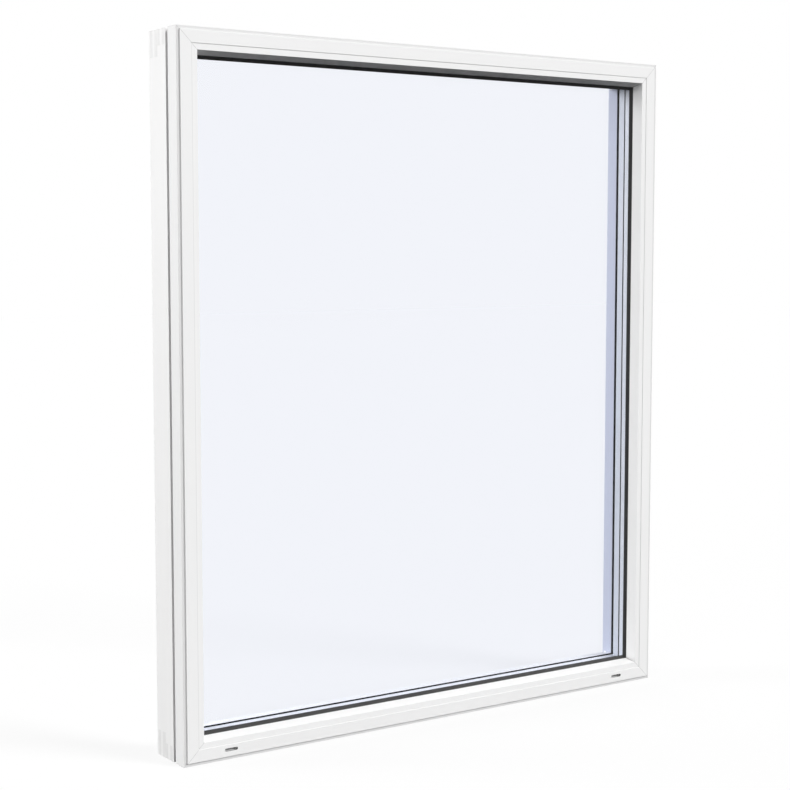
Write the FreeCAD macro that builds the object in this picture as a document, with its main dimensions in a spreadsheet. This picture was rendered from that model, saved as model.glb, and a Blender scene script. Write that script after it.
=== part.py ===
import FreeCAD, Part
import math
import os

import Sketcher

# A fixed picture window: comb-jointed timber frame, mitred aluminium cladding outside, triple glazing.
# X runs along the width, Y from outside to inside and Z up. The origin is under the middle of the sill.
# Depths are measured inwards from the outer face of the cladding, insets from the frame's outer edge.

# Driving dimensions in millimetres
DIMENSIONS = {
    "frame_width": 1180,
    "frame_height": 1380,
    "timber_depth": 68,
    "timber_face": 50,
    "rebate_inset": 30,
    "stop_land": 2,
    "stop_splay": 5,
    "cheek_width": 5,
    "tenon_width": 9.5,
    "tenon_gap": 8.5,
    "vent_gap": 9,
    "cladding_wall": 2,
    "flange_length": 33.5,
    "shoulder_depth": 3,
    "shoulder_width": 6.6,
    "plate_width": 23.2,
    "step_width": 0.3,
    "lip_setback": 1,
    "lip_width": 11.9,
    "reveal_splay": 7.3,
    "rib_offset": 4.4,
    "drain_length": 28,
    "drain_height": 6,
    "drain_end": 100,
    "drain_inset": 19.7,
    "glass_setback": 28.3,
    "pane_thickness": 4,
    "cavity_width": 18,
    "edge_clearance": 6,
    "seal_depth": 6.5,
    "spacer_height": 6,
    "outer_gasket_thickness": 5.6,
    "outer_gasket_root": 4.2,
    "outer_gasket_lip": 6.3,
    "outer_gasket_tip": 0.6,
    "inner_gasket_thickness": 2.5,
    "inner_gasket_width": 8.5,
    "clip_base": 10,
    "clip_jaw": 3,
    "clip_grip": 8,
    "clip_length": 40,
    "clip_end": 160,
    "block_length": 100,
    "block_end": 300,
    "cut_margin": 5,
}
RAIL_CLIPS = 4
JAMB_CLIPS = 5

# Sketch geometry indices and point positions
VERTICAL_AXIS, HORIZONTAL_AXIS = range(-2, 0)
ROOT = HORIZONTAL_AXIS
START, END, CENTRE = range(1, 4)

Y_AXIS = FreeCAD.Vector(0, 1, 0)
SIDE_TURN = {"sill": 0, "left": 90, "head": 180, "right": -90}


class Size:
    """A length with its value now and the expression that ties it to the sheet."""

    def __init__(self, text, value):
        self.text = text
        self.value = value

    def joined(self, sign, other, value):
        return Size(f"({self.text} {sign} {other.text})", value)

    def __add__(self, other):
        return self.joined("+", other, self.value + other.value)

    def __sub__(self, other):
        return self.joined("-", other, self.value - other.value)

    def __mul__(self, factor):
        return Size(f"({self.text} * {factor})", self.value * factor)

    def __truediv__(self, divisor):
        return Size(f"({self.text} / {divisor})", self.value / divisor)

    def __neg__(self):
        return self * -1

    def share(self, part, whole):
        """This size times one size over another."""
        return Size(f"({self.text} * {part.text} / {whole.text})", self.value * part.value / whole.value)


ZERO = Size("0", 0)

doc = FreeCAD.newDocument("picture_window")
sheet = doc.addObject("Spreadsheet::Sheet", "Dims")
for row, (name, value) in enumerate(DIMENSIONS.items(), start=1):
    sheet.set(f"A{row}", name)
    sheet.set(f"B{row}", str(value))
    sheet.setAlias(f"B{row}", name)
doc.recompute()
dim = {name: Size(f"Dims.{name}", float(sheet.get(name))) for name in DIMENSIONS}
parts = []

# Insets worked out from the driving dimensions
plate_inset = dim["shoulder_width"] + dim["plate_width"]
step_inset = plate_inset + dim["step_width"]
lip_inset = step_inset + dim["lip_width"]
reveal_inset = lip_inset + dim["reveal_splay"]
sight_inset = reveal_inset + dim["outer_gasket_lip"]
rib_inset = plate_inset - dim["rib_offset"]
glass_inset = dim["rebate_inset"] + dim["edge_clearance"]
seal_inset = glass_inset + dim["seal_depth"]
spacer_inset = seal_inset + dim["spacer_height"]

# Depths worked out from the driving dimensions
flange_end = dim["shoulder_depth"] + dim["flange_length"]
reveal_end = dim["glass_setback"] - dim["outer_gasket_thickness"]
timber_front = flange_end + dim["vent_gap"]
rib_end = timber_front - dim["clip_base"]
pane_pitch = dim["pane_thickness"] + dim["cavity_width"]
pane_fronts = [dim["glass_setback"] + pane_pitch * place for place in range(3)]
glass_back = pane_fronts[2] + dim["pane_thickness"]
stop_front = glass_back + dim["inner_gasket_thickness"]
frame_depth = timber_front + dim["timber_depth"]


def bind(item, path, size):
    """Ties one property of an object to the sheet."""
    item.setExpression(path, size.text)


def place_corner(item, corner):
    """Ties the place of an object to three sizes, with depths counted from the outer face."""
    x, depth, z = corner
    bind(item, "Placement.Base.x", x)
    bind(item, "Placement.Base.y", depth - frame_depth / 2)
    bind(item, "Placement.Base.z", z)


def keep(item, label):
    """Names a finished sub-part and adds it to the window."""
    item.Label = label
    parts.append(item)


def bar_length(side):
    return dim["frame_width"] if side in ("sill", "head") else dim["frame_height"]


def seat_bar(body, side):
    """Turns a bar, drawn along X with its outer edge at Z = 0, onto one side of the frame."""
    seats = {
        "sill": (ZERO, ZERO, ZERO),
        "head": (ZERO, ZERO, dim["frame_height"]),
        "left": (-dim["frame_width"] / 2, ZERO, dim["frame_height"] / 2),
        "right": (dim["frame_width"] / 2, ZERO, dim["frame_height"] / 2),
    }
    body.Placement = FreeCAD.Placement(FreeCAD.Vector(), FreeCAD.Rotation(Y_AXIS, SIDE_TURN[side]))
    place_corner(body, seats[side])


def origin_feature(body, role):
    return next(feature for feature in body.Origin.OriginFeatures if feature.Role == role)


def new_sketch(body, name, plane, offset=ZERO):
    """Starts a sketch on one of the body's origin planes, shifted along the plane's normal."""
    sketch = body.newObject("Sketcher::SketchObject", name)
    sketch.AttachmentSupport = [(origin_feature(body, plane), "")]
    sketch.MapMode = "FlatFace"
    bind(sketch, "AttachmentOffset.Base.z", offset)
    return sketch


def pin(sketch, element, position, x, y):
    """Ties one point of a sketch to a place given by two sizes."""
    for kind, size, axis in (("DistanceX", x, VERTICAL_AXIS), ("DistanceY", y, HORIZONTAL_AXIS)):
        if size.value == 0:
            sketch.addConstraint(Sketcher.Constraint("PointOnObject", element, position, axis))
            continue
        if size.value > 0:
            constraint = Sketcher.Constraint(kind, ROOT, START, element, position, size.value)
        else:
            size = -size
            constraint = Sketcher.Constraint(kind, element, position, ROOT, START, size.value)
        index = sketch.addConstraint(constraint)
        bind(sketch, f"Constraints[{index}]", size)


def polygon(sketch, points):
    """Draws a closed polygon with each corner tied to the sheet."""
    corners = [FreeCAD.Vector(x.value, y.value, 0) for x, y in points]
    first = sketch.GeometryCount
    count = len(points)
    for place in range(count):
        sketch.addGeometry(Part.LineSegment(corners[place], corners[(place + 1) % count]))
    for place in range(count):
        follower = first + (place + 1) % count
        sketch.addConstraint(Sketcher.Constraint("Coincident", first + place, END, follower, START))
    for place, (x, y) in enumerate(points):
        pin(sketch, first + place, START, x, y)


def rectangle(sketch, low, high):
    """Draws a rectangle between two opposite corners."""
    polygon(sketch, [low, (high[0], low[1]), high, (low[0], high[1])])


def slot(sketch, x, y, length, height):
    """Draws a level slot with round ends, centred on x and y."""
    radius = height / 2
    reach = length / 2 - radius
    left = FreeCAD.Vector(x.value - reach.value, y.value, 0)
    right = FreeCAD.Vector(x.value + reach.value, y.value, 0)
    rise = FreeCAD.Vector(0, radius.value, 0)
    up = FreeCAD.Vector(0, 0, 1)
    quarter = math.pi / 2
    top = sketch.addGeometry(Part.LineSegment(left + rise, right + rise))
    bottom = sketch.addGeometry(Part.LineSegment(right - rise, left - rise))
    right_end = sketch.addGeometry(
        Part.ArcOfCircle(Part.Circle(right, up, radius.value), -quarter, quarter))
    left_end = sketch.addGeometry(
        Part.ArcOfCircle(Part.Circle(left, up, radius.value), quarter, 3 * quarter))
    sketch.addConstraint(Sketcher.Constraint("Tangent", top, END, right_end, END))
    sketch.addConstraint(Sketcher.Constraint("Tangent", right_end, START, bottom, START))
    sketch.addConstraint(Sketcher.Constraint("Tangent", bottom, END, left_end, END))
    sketch.addConstraint(Sketcher.Constraint("Tangent", left_end, START, top, START))
    index = sketch.addConstraint(Sketcher.Constraint("Radius", right_end, radius.value))
    bind(sketch, f"Constraints[{index}]", radius)
    pin(sketch, right_end, CENTRE, x + reach, y)
    pin(sketch, left_end, CENTRE, x - reach, y)


def pad_section(body, points, length, offset=ZERO):
    """Pads a section, drawn as depth and inset, evenly to both sides along X."""
    section = new_sketch(body, body.Name + "_section", "YZ_Plane", offset)
    polygon(section, points)
    pad = body.newObject("PartDesign::Pad", body.Name + "_pad")
    pad.Profile = section
    pad.SideType = "Symmetric"
    bind(pad, "Length", length)
    return pad


def cut_through(body, name, sketch):
    """Cuts a sketch through the whole bar, to both sides of its plane."""
    pocket = body.newObject("PartDesign::Pocket", name)
    pocket.Profile = sketch
    pocket.SideType = "Two sides"
    pocket.Type = "ThroughAll"
    pocket.Type2 = "ThroughAll"
    return pocket


def mirror_ends(body, cuts):
    """Repeats the cuts of one end of a bar at its other end."""
    mirror = body.newObject("PartDesign::Mirrored", body.Name + "_ends")
    mirror.Originals = cuts
    mirror.MirrorPlane = (origin_feature(body, "YZ_Plane"), [""])
    body.Tip = mirror


def mitre_cut(body, length, reach):
    """Cuts one end of a bar at 45 degrees, from its outer edge to past its inner edge."""
    sketch = new_sketch(body, body.Name + "_mitre", "XZ_Plane")
    half = length / 2
    depth = reach + dim["cut_margin"]
    polygon(sketch, [(half, ZERO), (half, depth), (half - depth, depth)])
    return cut_through(body, body.Name + "_mitre_cut", sketch)


def drain_cut(body):
    """Cuts one drain slot through the front plate of the sill cladding."""
    sketch = new_sketch(body, body.Name + "_drain", "XZ_Plane")
    centre = dim["frame_width"] / 2 - dim["drain_end"]
    slot(sketch, centre, dim["drain_inset"], dim["drain_length"], dim["drain_height"])
    pocket = body.newObject("PartDesign::Pocket", body.Name + "_drain_cut")
    pocket.Profile = sketch
    bind(pocket, "Length", dim["cladding_wall"])
    return pocket


def mitred_bar(label, side, section, reach, drained=False):
    """One side of a mitred frame: a constant section with 45 degree ends."""
    body = doc.addObject("PartDesign::Body", label)
    pad_section(body, section, bar_length(side))
    cuts = [mitre_cut(body, bar_length(side), reach)]
    if drained:
        cuts.append(drain_cut(body))
    mirror_ends(body, cuts)
    seat_bar(body, side)
    keep(body, label)


def cladding_section():
    """Thin-walled profile: side flange, shoulder, front plate, lip, splayed reveal and clip rib."""
    wall = dim["cladding_wall"]
    shoulder_depth = dim["shoulder_depth"]
    shoulder_width = dim["shoulder_width"]
    lip_front = dim["lip_setback"]
    lip_back = lip_front + wall
    lip_corner = lip_inset - wall + wall.share(dim["reveal_splay"], reveal_end - lip_front)
    return [
        (flange_end, ZERO),
        (shoulder_depth, ZERO),
        (shoulder_depth, shoulder_width),
        (ZERO, shoulder_width),
        (ZERO, plate_inset),
        (lip_front, step_inset),
        (lip_front, lip_inset),
        (reveal_end, reveal_inset),
        (reveal_end, reveal_inset - wall),
        (lip_back, lip_corner),
        (lip_back, step_inset),
        (wall, plate_inset),
        (wall, rib_inset + wall),
        (rib_end, rib_inset + wall),
        (rib_end, rib_inset),
        (wall, rib_inset),
        (wall, shoulder_width + wall),
        (shoulder_depth + wall, shoulder_width + wall),
        (shoulder_depth + wall, wall),
        (flange_end, wall),
    ]


def outer_gasket_section():
    """Glazing gasket that seats on the end of the reveal and tapers onto the outer pane."""
    root_inset = reveal_inset - dim["outer_gasket_root"]
    glass_front = dim["glass_setback"]
    return [
        (reveal_end, root_inset),
        (reveal_end, reveal_inset),
        (glass_front - dim["outer_gasket_tip"], sight_inset),
        (glass_front, sight_inset),
        (glass_front, root_inset),
    ]


def strip_section(front, back, low, high):
    """Plain rectangular strip between two depths and two insets."""
    return [(front, low), (front, high), (back, high), (back, low)]


def comb_slices():
    """Slices of the corner joints from front to back, by turns the jamb's and the rail's.

    Each is the outline of its inner end, as depths with the span from the outer edge. The middle tenon
    takes what the others leave, and steps where the rebate meets the stop.
    """
    low = dim["rebate_inset"]
    high = dim["timber_face"]
    front_tenon = timber_front + dim["cheek_width"]
    front_gap = front_tenon + dim["tenon_width"]
    middle_tenon = front_gap + dim["tenon_gap"]
    back_cheek = frame_depth - dim["cheek_width"]
    back_tenon = back_cheek - dim["tenon_width"]
    back_gap = back_tenon - dim["tenon_gap"]
    return [
        [(timber_front, low), (front_tenon, low)],
        [(front_tenon, low), (front_gap, low)],
        [(front_gap, low), (middle_tenon, low)],
        [(middle_tenon, low), (stop_front, low), (stop_front, high), (back_gap, high)],
        [(back_gap, high), (back_tenon, high)],
        [(back_tenon, high), (back_cheek, high)],
        [(back_cheek, high), (frame_depth, high)],
    ]


def timber_section():
    """Rebated timber: an outer leg beside the glass and a stop behind it."""
    return [
        (timber_front, ZERO),
        (timber_front, dim["rebate_inset"]),
        (stop_front, dim["rebate_inset"]),
        (stop_front, dim["timber_face"]),
        (frame_depth, dim["timber_face"]),
        (frame_depth, ZERO),
    ]


def comb_cut(body, side):
    """Cuts the slices at one end that belong to the neighbouring timber."""
    sketch = new_sketch(body, body.Name + "_comb", "XY_Plane")
    half = bar_length(side) / 2
    outside = half + dim["cut_margin"]
    first_slice = 1 if side in ("left", "right") else 0
    for inner_end in comb_slices()[first_slice::2]:
        corners = [(half - span, depth) for depth, span in inner_end]
        start = (outside, inner_end[0][0])
        end = (outside, inner_end[-1][0])
        polygon(sketch, [start, *corners, end])
    return cut_through(body, body.Name + "_comb_cut", sketch)


def splay_cut(body, side):
    """Slopes the inner face of the stop out towards the room, mitred where two timbers meet."""
    sketch = new_sketch(body, body.Name + "_splay", "XZ_Plane", -frame_depth)
    splay = dim["stop_splay"]
    low = dim["timber_face"] - splay
    high = dim["timber_face"] + splay + dim["cut_margin"]
    half = bar_length(side) / 2 - low
    rectangle(sketch, (-half, low), (half, high))
    pocket = body.newObject("PartDesign::Pocket", body.Name + "_splay_cut")
    pocket.Profile = sketch
    pocket.Reversed = True
    depth = frame_depth - stop_front - dim["stop_land"]
    bind(pocket, "Length", depth)
    pocket.setExpression("TaperAngle", f"-atan({splay.text} / {depth.text})")


def timber_bar(label, side):
    """One comb-jointed timber of the frame."""
    body = doc.addObject("PartDesign::Body", label)
    pad_section(body, timber_section(), bar_length(side))
    mirror_ends(body, [comb_cut(body, side)])
    splay_cut(body, side)
    seat_bar(body, side)
    keep(body, label)


def clip_section():
    """Plastic clip that stands on the timber and grips the rib of the cladding."""
    wall = dim["cladding_wall"]
    low = rib_inset - dim["clip_jaw"]
    high = rib_inset + wall + dim["clip_jaw"]
    mouth = rib_end - dim["clip_grip"]
    return [
        (timber_front, low),
        (mouth, low),
        (mouth, rib_inset),
        (rib_end, rib_inset),
        (rib_end, rib_inset + wall),
        (mouth, rib_inset + wall),
        (mouth, high),
        (timber_front, high),
    ]


def clip_row(label, side):
    """The clips along one side, evenly spaced between its ends."""
    body = doc.addObject("PartDesign::Body", label)
    body.AllowCompound = True
    span = bar_length(side) - dim["clip_end"] * 2
    pad = pad_section(body, clip_section(), dim["clip_length"], -span / 2)
    pattern = body.newObject("PartDesign::LinearPattern", label + "_row")
    pattern.Originals = [pad]
    pattern.Direction = (origin_feature(body, "X_Axis"), [""])
    pattern.Occurrences = RAIL_CLIPS if side in ("sill", "head") else JAMB_CLIPS
    bind(pattern, "Length", span)
    body.Tip = pattern
    seat_bar(body, side)
    keep(body, label)


def box(label, low, high):
    """A plain box between two corners given as X, depth and Z."""
    item = doc.addObject("Part::Box", label)
    for path, start, end in zip(("Length", "Width", "Height"), low, high):
        bind(item, path, end - start)
    place_corner(item, low)
    keep(item, label)


def glass_pane(label, front):
    """One pane of the sealed unit."""
    half = dim["frame_width"] / 2 - glass_inset
    box(label, (-half, front, glass_inset),
        (half, front + dim["pane_thickness"], dim["frame_height"] - glass_inset))


def setting_block(label, centre):
    """Block that carries the sealed unit on the rebate of the sill."""
    half = dim["block_length"] / 2
    box(label, (centre - half, dim["glass_setback"], dim["rebate_inset"]),
        (centre + half, glass_back, glass_inset))


# The four sides of the frame
for side in SIDE_TURN:
    timber_name = f"timber_{side}_jamb" if side in ("left", "right") else f"timber_{side}"
    timber_bar(timber_name, side)
    clip_row(f"cladding_clips_{side}", side)
    mitred_bar(f"cladding_{side}", side, cladding_section(), reveal_inset, drained=side == "sill")
    mitred_bar(f"outer_gasket_{side}", side, outer_gasket_section(), sight_inset)
    gasket_low = dim["timber_face"] - dim["inner_gasket_width"]
    inner_strip = strip_section(glass_back, stop_front, gasket_low, dim["timber_face"])
    mitred_bar(f"inner_gasket_{side}", side, inner_strip, dim["timber_face"])

# The sealed unit of three panes, with a spacer and an edge seal around each cavity
for pane_name, front in zip(("outer_pane", "middle_pane", "inner_pane"), pane_fronts):
    glass_pane(pane_name, front)
for cavity_name, front in zip(("outer", "inner"), pane_fronts):
    cavity_front = front + dim["pane_thickness"]
    cavity_back = cavity_front + dim["cavity_width"]
    for side in SIDE_TURN:
        spacer = strip_section(cavity_front, cavity_back, seal_inset, spacer_inset)
        mitred_bar(f"{cavity_name}_spacer_{side}", side, spacer, spacer_inset)
        seal = strip_section(cavity_front, cavity_back, glass_inset, seal_inset)
        mitred_bar(f"{cavity_name}_seal_{side}", side, seal, seal_inset)
block_place = dim["frame_width"] / 2 - dim["block_end"]
setting_block("setting_block_left", -block_place)
setting_block("setting_block_right", block_place)

doc.recompute()

# Every object has to be sound before anything is written
for item in doc.Objects:
    if "Invalid" in item.State or "Error" in item.State:
        raise RuntimeError(f"{item.Label} failed: {item.State}")
for part in parts:
    if part.Shape.isNull() or not part.Shape.isValid() or not part.Shape.Solids:
        raise RuntimeError(f"{part.Label} has no valid shape")

os.makedirs("parts", exist_ok=True)
for part in parts:
    part.Shape.exportStep(os.path.join("parts", part.Label + ".step"))
    print(f"{part.Label}: {len(part.Shape.Solids)} solids, {part.Shape.Volume:.0f} mm3")
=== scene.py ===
import math

import bpy
from mathutils import Euler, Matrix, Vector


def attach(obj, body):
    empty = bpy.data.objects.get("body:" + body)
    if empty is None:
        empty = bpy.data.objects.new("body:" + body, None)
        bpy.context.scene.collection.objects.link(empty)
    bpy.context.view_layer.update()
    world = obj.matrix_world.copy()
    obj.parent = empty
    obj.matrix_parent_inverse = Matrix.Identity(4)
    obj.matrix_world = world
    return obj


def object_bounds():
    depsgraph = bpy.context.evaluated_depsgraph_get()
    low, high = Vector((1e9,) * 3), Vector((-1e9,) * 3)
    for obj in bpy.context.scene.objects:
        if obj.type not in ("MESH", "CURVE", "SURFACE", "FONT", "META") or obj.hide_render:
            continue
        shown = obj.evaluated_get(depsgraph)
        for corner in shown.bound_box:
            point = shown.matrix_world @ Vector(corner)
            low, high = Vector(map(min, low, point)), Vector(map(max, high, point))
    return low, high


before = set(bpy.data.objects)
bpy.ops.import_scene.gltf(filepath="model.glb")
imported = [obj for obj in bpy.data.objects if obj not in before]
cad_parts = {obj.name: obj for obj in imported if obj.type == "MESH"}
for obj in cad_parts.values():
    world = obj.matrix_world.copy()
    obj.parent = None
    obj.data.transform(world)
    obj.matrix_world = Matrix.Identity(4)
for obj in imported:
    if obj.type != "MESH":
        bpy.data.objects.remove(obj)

# A white aluminium-clad timber window with triple glazing, on a plain pale floor.
# Lengths are in metres and angles in degrees.

cad_low, cad_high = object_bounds()

SIDES = ("sill", "left", "head", "right")
JAMBS = ("timber_left_jamb", "timber_right_jamb")
RAILS = ("timber_head", "timber_sill")
PANES = ("outer_pane", "middle_pane", "inner_pane")
BLOCKS = ("setting_block_left", "setting_block_right")

# Camera
CAMERA_PLACE = (-1.9846, -2.8055, 0.9719)
CAMERA_YAW = 34.282
CAMERA_PITCH = -4.9725
CAMERA_LENS = 75.72

# Soft suns: turn to the right of straight in front, height, spread, watts per square metre
SUNS = {
    "key": (33, 33, 22, 2.20),
    "fill": (-60, 30, 22, 0.25),
    "side": (-125, 10, 22, 1.72),
    "back": (165, 8, 22, 0.70),
}
SKY_ZENITH = 0.0
SKY_HORIZON = 1.61
SKY_BELOW = 0.02
FLOOR_SHOWN = 0.16
FLOOR_BOUNCE = 0.03
FLOOR_SIZE = 40.0

# Edge rounding on the solids, whose faces are first joined at their edges
CLADDING_ROUND = 0.00012
TIMBER_ROUND = 0.0004
RUBBER_ROUND = 0.0002
ROUND_STEPS = 2
ROUND_ANGLE = 15
WELD_REACH = 0.00001

# The part of a noise's range that materials use
NOISE_RANGE = (0.3, 0.7)

# Powder coat: a white that clouds slightly, with orange peel (a bump is its strength and depth)
COAT_TONES = (0.85, 0.875)
COAT_CLOUDS = 4.0
COAT_SPECULAR = 0.3
COAT_ROUGHNESS = (0.40, 0.50)
PEEL_SCALE = 850.0
PEEL_BUMP = (0.12, 0.00004)
FRONT_FACING = -0.8

# The cladding's shoulder, set back behind its front plate, is painted a shade greyer: painted shade in the
# recess beside the plate
SHOULDER_FROM = 0.0022
SHOULDER_SHADE_TONE = 0.72

# Painted shade in the crease beside the step of the cladding's lip, and in the milled drain slots and on
# the baffles behind them
STEP_INSET = 0.0301
CREASE_SHADE_WIDTH = 0.0018
CREASE_SHADE_TONE = 0.68
DRAIN_X = 0.490
DRAIN_Z = 0.0197
DRAIN_LENGTH = 0.0284
DRAIN_HEIGHT = 0.0064
SLOT_SHADE_FROM = 0.0002
SLOT_SHADE_TONE = 0.26

# The mitre's seam on the cladding, a painted shadow line along the joint
SEAM_HALF = 0.0005
SEAM_SHADOW_TONE = 0.55

# Painted timber: long grain, end grain with its rings, and the reveal behind the glass, painted with shade
# and with the blue of light through the panes: darker on the jambs, faint on the rails
PAINT_TONES = (0.865, 0.895)
PAINT_WARMTH = 0.002
PAINT_ROUGHNESS = (0.42, 0.54)
GRAIN_ACROSS = 90.0
GRAIN_ALONG = 3.0
FIBRE_FINENESS = 2.5
FIBRE_BUMP = (0.15, 0.00008)
END_TONES = (0.77, 0.83)
END_FACING = 0.9
RING_SCALE = (60.0, 420.0, 46.0)
RING_RANGE = (0.35, 0.65)
REVEAL_INSET = 0.044
REVEAL_SHADE_TONES = {"Z": (0.55, 0.58, 0.70, 1.0), "X": (0.87, 0.89, 0.91, 1.0)}
ROOM_FACING = 0.5

# Black rubber and plastic
GASKET_TONE = 0.045
INNER_GASKET_TONE = 0.015
SEALANT_TONE = 0.03
PLASTIC_TONE = 0.035
RUBBER_SHEEN = 0.2
RUBBER_ROUGHNESS = (0.5, 0.68)
SKIN_SCALE = 700.0
SKIN_BUMP = (0.2, 0.00005)
BLOOM_SCALE = 25.0
BLOOM_SPREAD = 0.15

# Spacer bars, ribbed along their length: the tone, its shift to green and blue, and its clouds
# The jambs' spacers are painted darker and the rails' lighter: painted shade and painted light on one
# material
JAMB_SPACER_SHADED_TONE = 0.58
RAIL_SPACER_LIT_TONE = 0.80
SPACER_GREEN = 0.03
SPACER_BLUE = 0.10
SPACER_CLOUD = 0.06
SPACER_CLOUD_SCALE = 30.0
SPACER_ROUGHNESS = (0.36, 0.5)
RIB_SCALE = (2.0, 900.0, 2.0)
RIB_BUMP = (0.3, 0.0001)

# The two cavities of the sealed unit, and the line of black butyl between a spacer and the panes
CAVITY_FRONTS = (0.0323, 0.0543)
CAVITY_WIDTH = 0.018
BUTYL = 0.0008
BUTYL_TONE = 0.02

# Glass
GLASS_TINT = (0.961, 0.967, 0.985, 1.0)
GLASS_IOR = 1.5

# Drain baffles, behind the slots of the sill's cladding: a U-shaped channel, open to the front
BAFFLE_FRONT = 0.0020
BAFFLE_DEPTH = 0.0090
BAFFLE_HEIGHT = 0.0100
BAFFLE_LENGTH = 0.040
BAFFLE_WALL = 0.0010


class Nodes:
    """A node tree with short calls to add a node and to join sockets."""

    def __init__(self, tree):
        self.tree = tree

    def add(self, kind, settings=None, **inputs):
        node = self.tree.nodes.new(kind)
        for name, value in (settings or {}).items():
            setattr(node, name, value)
        for name, value in inputs.items():
            self.feed(node, name.replace("_", " "), value)
        return node

    def feed(self, node, name, value):
        socket = node.inputs[name]
        if isinstance(value, bpy.types.NodeSocket):
            self.tree.links.new(value, socket)
        else:
            socket.default_value = value

    def math(self, operation, first, second=0.0):
        node = self.add("ShaderNodeMath", {"operation": operation})
        for index, value in enumerate((first, second)):
            self.feed(node, index, value)
        return node.outputs[0]

    def span(self, value, low, high, new_low, new_high):
        """A value's range stretched to a new range."""
        node = self.add("ShaderNodeMapRange")
        for index, item in enumerate((value, low, high, new_low, new_high)):
            self.feed(node, index, item)
        return node.outputs[0]

    def mix(self, factor, first, second):
        """Two colours mixed, by the sockets that the mix node has for colours."""
        node = self.add("ShaderNodeMix", {"data_type": "RGBA"})
        for index, item in ((0, factor), (6, first), (7, second)):
            self.feed(node, index, item)
        return node.outputs[2]

    def coordinates(self, kind):
        """X, Y and Z of a coordinate: Object is a place, Normal a face's direction, Generated a sky's."""
        source = self.add("ShaderNodeTexCoord")
        return self.add("ShaderNodeSeparateXYZ", Vector=source.outputs[kind]).outputs

    def place(self, scale=(1, 1, 1)):
        """Object coordinates in metres, stretched by a scale for each axis."""
        source = self.add("ShaderNodeTexCoord")
        mapping = self.add("ShaderNodeMapping", Scale=scale)
        self.tree.links.new(source.outputs["Object"], mapping.inputs["Vector"])
        return mapping.outputs[0]

    def inset(self, axis):
        """How far a place lies inside the window's outer edge, along one axis."""
        index = "XYZ".index(axis)
        middle = (cad_low[index] + cad_high[index]) / 2
        away = self.math("ABSOLUTE", self.math("SUBTRACT", self.coordinates("Object")[axis], middle))
        return self.math("SUBTRACT", cad_high[index] - middle, away)

    def noise(self, vector, scale, detail=2.0, roughness=0.5):
        node = self.add("ShaderNodeTexNoise", Vector=vector, Scale=scale, Detail=detail)
        node.inputs["Roughness"].default_value = roughness
        return node.outputs[0]

    def bump(self, height, strength, distance):
        return self.add("ShaderNodeBump", Height=height, Strength=strength, Distance=distance).outputs[0]


def new_material(name):
    material = bpy.data.materials.new(name)
    material.use_nodes = True
    nodes = Nodes(material.node_tree)
    return material, nodes, material.node_tree.nodes["Principled BSDF"]


def grey(level, warmth=0.0):
    return (level + warmth, level, level - warmth, 1.0)


def crease_shade_mask(nodes, inset_x, inset_z):
    """1 at the step of the cladding's lip, fading to 0 a little further in: where shade is painted."""
    nearest = nodes.math("MINIMUM", inset_x, inset_z)
    fade = nodes.span(nearest, STEP_INSET, STEP_INSET + CREASE_SHADE_WIDTH, 1.0, 0.0)
    return nodes.math("MULTIPLY", fade, nodes.math("GREATER_THAN", nearest, STEP_INSET))


def seam_shadow_mask(nodes, inset_x, inset_z):
    """1 along the mitres, where both insets are alike: where a shadow line is painted."""
    off_mitre = nodes.math("ABSOLUTE", nodes.math("SUBTRACT", inset_x, inset_z))
    return nodes.math("LESS_THAN", off_mitre, SEAM_HALF)


def slot_shade_mask(nodes, spot):
    """1 in the drain slots, on their walls and on the baffles behind them: where shade is painted."""
    from_middle = nodes.math("SUBTRACT", nodes.math("ABSOLUTE", spot["X"]), DRAIN_X)
    along = nodes.math("LESS_THAN", nodes.math("ABSOLUTE", from_middle), DRAIN_LENGTH / 2)
    from_line = nodes.math("ABSOLUTE", nodes.math("SUBTRACT", spot["Z"], DRAIN_Z))
    slot = nodes.math("MULTIPLY", along, nodes.math("LESS_THAN", from_line, DRAIN_HEIGHT / 2))
    inside = nodes.math("GREATER_THAN", spot["Y"], cad_low.y + SLOT_SHADE_FROM)
    return nodes.math("MULTIPLY", slot, inside)


def powder_coat():
    """White polyester coating on aluminium: fine orange peel and a soft satin sheen, greyed by painted
    shade on the set-back shoulder, beside the lip's step, along the mitres and in the drain slots.
    """
    material, nodes, shader = new_material("powder_coat")
    place = nodes.place()
    cloud = nodes.noise(place, COAT_CLOUDS, detail=3.0)
    peel = nodes.noise(place, PEEL_SCALE, detail=1.5)
    spot = nodes.coordinates("Object")
    front = nodes.math("LESS_THAN", nodes.coordinates("Normal")["Y"], FRONT_FACING)
    set_back = nodes.math("GREATER_THAN", spot["Y"], cad_low.y + SHOULDER_FROM)
    shoulder_shade = nodes.math("MULTIPLY", front, set_back)
    insets = (nodes.inset("X"), nodes.inset("Z"))
    crease_shade = nodes.math("MULTIPLY", front, crease_shade_mask(nodes, *insets))
    coat = nodes.mix(cloud, *[grey(tone) for tone in COAT_TONES])
    # Painted shade on the set-back shoulder
    coat = nodes.mix(shoulder_shade, coat, grey(SHOULDER_SHADE_TONE))
    # Painted shade in the crease beside the lip's step
    coat = nodes.mix(crease_shade, coat, grey(CREASE_SHADE_TONE))
    # Painted shadow line along the mitres
    coat = nodes.mix(seam_shadow_mask(nodes, *insets), coat, grey(SEAM_SHADOW_TONE))
    # Painted shade in the drain slots and on the baffles behind them
    coat = nodes.mix(slot_shade_mask(nodes, spot), coat, grey(SLOT_SHADE_TONE))
    nodes.feed(shader, "Base Color", coat)
    nodes.feed(shader, "Roughness", nodes.span(peel, *NOISE_RANGE, *COAT_ROUGHNESS))
    nodes.feed(shader, "Specular IOR Level", COAT_SPECULAR)
    nodes.feed(shader, "Normal", nodes.bump(peel, *PEEL_BUMP))
    return material


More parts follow.
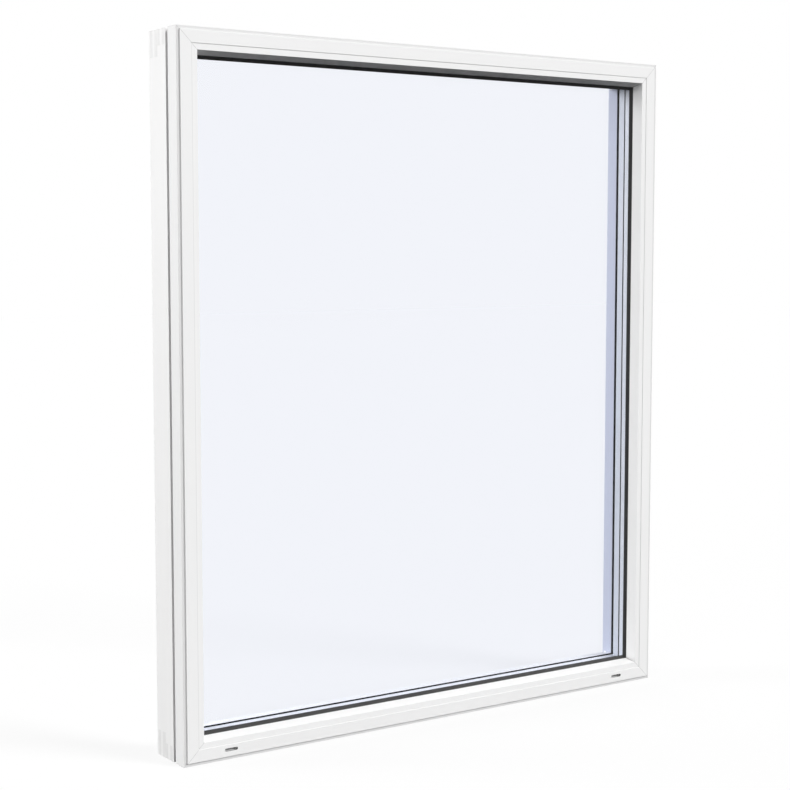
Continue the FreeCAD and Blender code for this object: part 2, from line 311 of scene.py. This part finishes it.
def painted_timber(name, along):
    """White paint over pine: faint long grain, and darker end grain on the faces across the length."""
    material, nodes, shader = new_material(name)
    across = "X" if along == "Z" else "Z"
    stretch = [GRAIN_ALONG if axis == along else GRAIN_ACROSS for axis in "XYZ"]
    grain = nodes.noise(nodes.place(stretch), 1.0, detail=5.0, roughness=0.6)
    fibre = nodes.noise(nodes.place([FIBRE_FINENESS * scale for scale in stretch]), 1.0, detail=3.0)
    rings = nodes.noise(nodes.place(RING_SCALE), 1.0, detail=4.0)
    long_colour = nodes.mix(grain, *[grey(tone, PAINT_WARMTH) for tone in PAINT_TONES])
    end_tones = [grey(tone, PAINT_WARMTH) for tone in END_TONES]
    end_colour = nodes.mix(nodes.span(rings, *RING_RANGE, 0.0, 1.0), *end_tones)
    facing = nodes.coordinates("Normal")
    end = nodes.math("GREATER_THAN", nodes.math("ABSOLUTE", facing[along]), END_FACING)
    # Painted shade and tinted light on the reveal behind the glass: darker and bluish on the jambs, faintly
    # bluish on the rails
    shaded_reveal = nodes.math("GREATER_THAN", nodes.inset(across), REVEAL_INSET)
    shaded_reveal = nodes.math("MULTIPLY", shaded_reveal, nodes.math("LESS_THAN", facing["Y"], ROOM_FACING))
    long_colour = nodes.mix(shaded_reveal, long_colour, REVEAL_SHADE_TONES[along])
    nodes.feed(shader, "Base Color", nodes.mix(end, long_colour, end_colour))
    nodes.feed(shader, "Roughness", nodes.span(fibre, *NOISE_RANGE, *PAINT_ROUGHNESS))
    nodes.feed(shader, "Normal", nodes.bump(fibre, *FIBRE_BUMP))
    return material


def rubber(name, level, sheen=RUBBER_SHEEN):
    """Black rubber or plastic with a dull skin and a faint bloom."""
    material, nodes, shader = new_material(name)
    place = nodes.place()
    skin = nodes.noise(place, SKIN_SCALE)
    bloom = nodes.noise(place, BLOOM_SCALE, detail=3.0)
    tones = [grey(level * share) for share in (1 - BLOOM_SPREAD, 1 + BLOOM_SPREAD)]
    nodes.feed(shader, "Base Color", nodes.mix(bloom, *tones))
    nodes.feed(shader, "Roughness", nodes.span(skin, *NOISE_RANGE, *RUBBER_ROUGHNESS))
    nodes.feed(shader, "Specular IOR Level", sheen)
    nodes.feed(shader, "Normal", nodes.bump(skin, *SKIN_BUMP))
    return material


def spacer_bar(name, level):
    """Pale bluish spacer profile with a fine lengthwise ribbing, edged with black butyl along the panes."""
    material, nodes, shader = new_material(name)
    ribs = nodes.noise(nodes.place(RIB_SCALE), 1.0, detail=1.0)
    cloud = nodes.noise(nodes.place(), SPACER_CLOUD_SCALE)
    depth = nodes.coordinates("Object")["Y"]
    bare = 0.0
    for front in CAVITY_FRONTS:
        middle = cad_low.y + front + CAVITY_WIDTH / 2
        away = nodes.math("ABSOLUTE", nodes.math("SUBTRACT", depth, middle))
        bare = nodes.math("MAXIMUM", bare, nodes.math("LESS_THAN", away, CAVITY_WIDTH / 2 - BUTYL))
    tones = (level - SPACER_CLOUD, level)
    metal = nodes.mix(cloud, *[(tone, tone + SPACER_GREEN, tone + SPACER_BLUE, 1.0) for tone in tones])
    nodes.feed(shader, "Base Color", nodes.mix(bare, grey(BUTYL_TONE), metal))
    nodes.feed(shader, "Roughness", nodes.span(ribs, *NOISE_RANGE, *SPACER_ROUGHNESS))
    nodes.feed(shader, "Normal", nodes.bump(ribs, *RIB_BUMP))
    return material


def clear_glass():
    """Float glass with a slight cool tint and an anti-reflection coating, which mirrors only at a slant."""
    material, nodes, shader = new_material("clear_glass")
    nodes.feed(shader, "Base Color", GLASS_TINT)
    nodes.feed(shader, "Roughness", 0.0)
    nodes.feed(shader, "IOR", GLASS_IOR)
    nodes.feed(shader, "Specular Tint", grey(0.0))
    nodes.feed(shader, "Transmission Weight", 1.0)
    return material


def dress(names, material, rounding=0.0):
    """Gives CAD nodes a material and, where asked, finely rounded edges."""
    for name in names:
        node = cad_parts[name]
        node.data.materials.clear()
        node.data.materials.append(material)
        if rounding:
            weld = node.modifiers.new("joined_faces", "WELD")
            weld.merge_threshold = WELD_REACH
            bevel = node.modifiers.new("rounded_edges", "BEVEL")
            bevel.width = rounding
            bevel.segments = ROUND_STEPS
            bevel.limit_method = "ANGLE"
            bevel.angle_limit = math.radians(ROUND_ANGLE)
            bevel.use_clamp_overlap = True
            bevel.harden_normals = True


def each_side(stem):
    return [f"{stem}_{side}" for side in SIDES]


def make_baffle(name, x, material):
    """A short channel seated on the back of the sill's plate, with open ends that let water in."""
    front = cad_low.y + BAFFLE_FRONT
    back = front + BAFFLE_DEPTH
    half = BAFFLE_HEIGHT / 2
    outer = [(front, -half), (back, -half), (back, half), (front, half)]
    half -= BAFFLE_WALL
    back -= BAFFLE_WALL
    inner = [(front, half), (back, half), (back, -half), (front, -half)]
    profile = outer + inner
    count = len(profile)
    corners = []
    for end in (x - BAFFLE_LENGTH / 2, x + BAFFLE_LENGTH / 2):
        corners += [(end, y, DRAIN_Z + z) for y, z in profile]
    faces = []
    for index in range(count):
        following = (index + 1) % count
        faces.append((index, following, following + count, index + count))
    for index in range(len(outer) - 1):
        wall_end = (index, index + 1, count - 2 - index, count - 1 - index)
        faces.append(wall_end[::-1])
        faces.append([corner + count for corner in wall_end])
    mesh = bpy.data.meshes.new(name)
    mesh.from_pydata(corners, [], faces)
    mesh.materials.append(material)
    baffle = bpy.data.objects.new(name, mesh)
    bpy.context.scene.collection.objects.link(baffle)
    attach(baffle, "root")


def dress_window():
    coating = powder_coat()
    dress(each_side("cladding"), coating, CLADDING_ROUND)
    make_baffle("drain_baffle_left", -DRAIN_X, coating)
    make_baffle("drain_baffle_right", DRAIN_X, coating)
    dress(JAMBS, painted_timber("painted_jamb", "Z"), TIMBER_ROUND)
    dress(RAILS, painted_timber("painted_rail", "X"), TIMBER_ROUND)
    dress(each_side("outer_gasket"), rubber("gasket_rubber", GASKET_TONE), RUBBER_ROUND)
    dress(each_side("inner_gasket"), rubber("inner_gasket_rubber", INNER_GASKET_TONE, sheen=0.0))
    sealant = rubber("edge_sealant", SEALANT_TONE)
    # One spacer material in a shaded and a lit copy: painted shade on the jambs, painted light on the rails
    jamb_spacer = spacer_bar("jamb_spacer", JAMB_SPACER_SHADED_TONE)
    rail_spacer = spacer_bar("rail_spacer", RAIL_SPACER_LIT_TONE)
    for cavity in ("outer", "inner"):
        dress(each_side(f"{cavity}_seal"), sealant)
        dress([f"{cavity}_spacer_left", f"{cavity}_spacer_right"], jamb_spacer)
        dress([f"{cavity}_spacer_sill", f"{cavity}_spacer_head"], rail_spacer)
    plastic = rubber("black_plastic", PLASTIC_TONE)
    dress(each_side("cladding_clips"), plastic)
    dress(BLOCKS, plastic)
    dress(PANES, clear_glass())
    for name in PANES:
        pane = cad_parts[name]
        pane.visible_shadow = False
        pane.visible_diffuse = False


def shown_directly(nodes):
    """1 for a ray from the eye, straight or by way of clear glass, and 0 for light that surfaces gather."""
    path = nodes.add("ShaderNodeLightPath")
    seen = nodes.math("MAXIMUM", path.outputs["Is Camera Ray"], path.outputs["Is Singular Ray"])
    first = nodes.math("LESS_THAN", path.outputs["Diffuse Depth"], 0.5)
    return nodes.math("MULTIPLY", seen, first)


def open_floor_light():
    """What a white floor in the open would show by the suns and by a sky that fades evenly with height."""
    suns = sum(watts * math.sin(math.radians(height)) for turn, height, spread, watts in SUNS.values())
    return suns / math.pi + SKY_HORIZON / 3 + SKY_ZENITH * 2 / 3


def make_floor():
    """Plain floor, just white in the open with soft shadows, that throws little light back."""
    bpy.ops.mesh.primitive_plane_add(size=FLOOR_SIZE, location=(0, 0, cad_low.z))
    floor = bpy.context.object
    floor.name = "floor"
    material, nodes, shader = new_material("pale_floor")
    shown = shown_directly(nodes)
    nodes.feed(shader, "Base Color", nodes.mix(shown, grey(FLOOR_BOUNCE), grey(FLOOR_SHOWN)))
    nodes.feed(shader, "Emission Color", grey(1.0))
    glow = 1.0 - FLOOR_SHOWN * open_floor_light()
    nodes.feed(shader, "Emission Strength", nodes.math("MULTIPLY", shown, glow))
    nodes.feed(shader, "Roughness", 1.0)
    nodes.feed(shader, "Specular IOR Level", 0.0)
    material.cycles.emission_sampling = "NONE"
    floor.data.materials.append(material)


def make_world():
    """White to the eye, and as a source of light a sky that is brightest near the floor."""
    world = bpy.data.worlds.new("studio")
    bpy.context.scene.world = world
    world.use_nodes = True
    nodes = Nodes(world.node_tree)
    world.node_tree.nodes.clear()
    height = nodes.coordinates("Generated")["Z"]
    sky = nodes.span(height, 0.0, 1.0, SKY_HORIZON, SKY_ZENITH)
    above = nodes.math("GREATER_THAN", height, 0.0)
    level = nodes.span(above, 0.0, 1.0, SKY_BELOW, sky)
    light = nodes.add("ShaderNodeBackground", Strength=level)
    white = nodes.add("ShaderNodeBackground")
    for background in (light, white):
        background.inputs["Color"].default_value = grey(1.0)
    blend = nodes.add("ShaderNodeMixShader", Fac=shown_directly(nodes))
    world.node_tree.links.new(light.outputs[0], blend.inputs[1])
    world.node_tree.links.new(white.outputs[0], blend.inputs[2])
    output = nodes.add("ShaderNodeOutputWorld")
    world.node_tree.links.new(blend.outputs[0], output.inputs["Surface"])


def make_suns():
    for name, (turn, height, spread, watts) in SUNS.items():
        light = bpy.data.lights.new(name, "SUN")
        light.angle = math.radians(spread)
        light.energy = watts
        sun = bpy.data.objects.new(name, light)
        bpy.context.scene.collection.objects.link(sun)
        sun.visible_camera = False
        sun.visible_transmission = False
        sun.rotation_euler = Euler((math.radians(90 - height), 0, math.radians(turn)))


def make_camera():
    camera = bpy.data.objects.new("camera", bpy.data.cameras.new("camera"))
    bpy.context.scene.collection.objects.link(camera)
    camera.data.lens = CAMERA_LENS
    camera.location = CAMERA_PLACE
    camera.rotation_euler = Euler((math.radians(90 + CAMERA_PITCH), 0, math.radians(-CAMERA_YAW)))
    bpy.context.scene.camera = camera


dress_window()
make_floor()
make_world()
make_suns()
make_camera()
bpy.context.scene.view_settings.view_transform = "Standard"
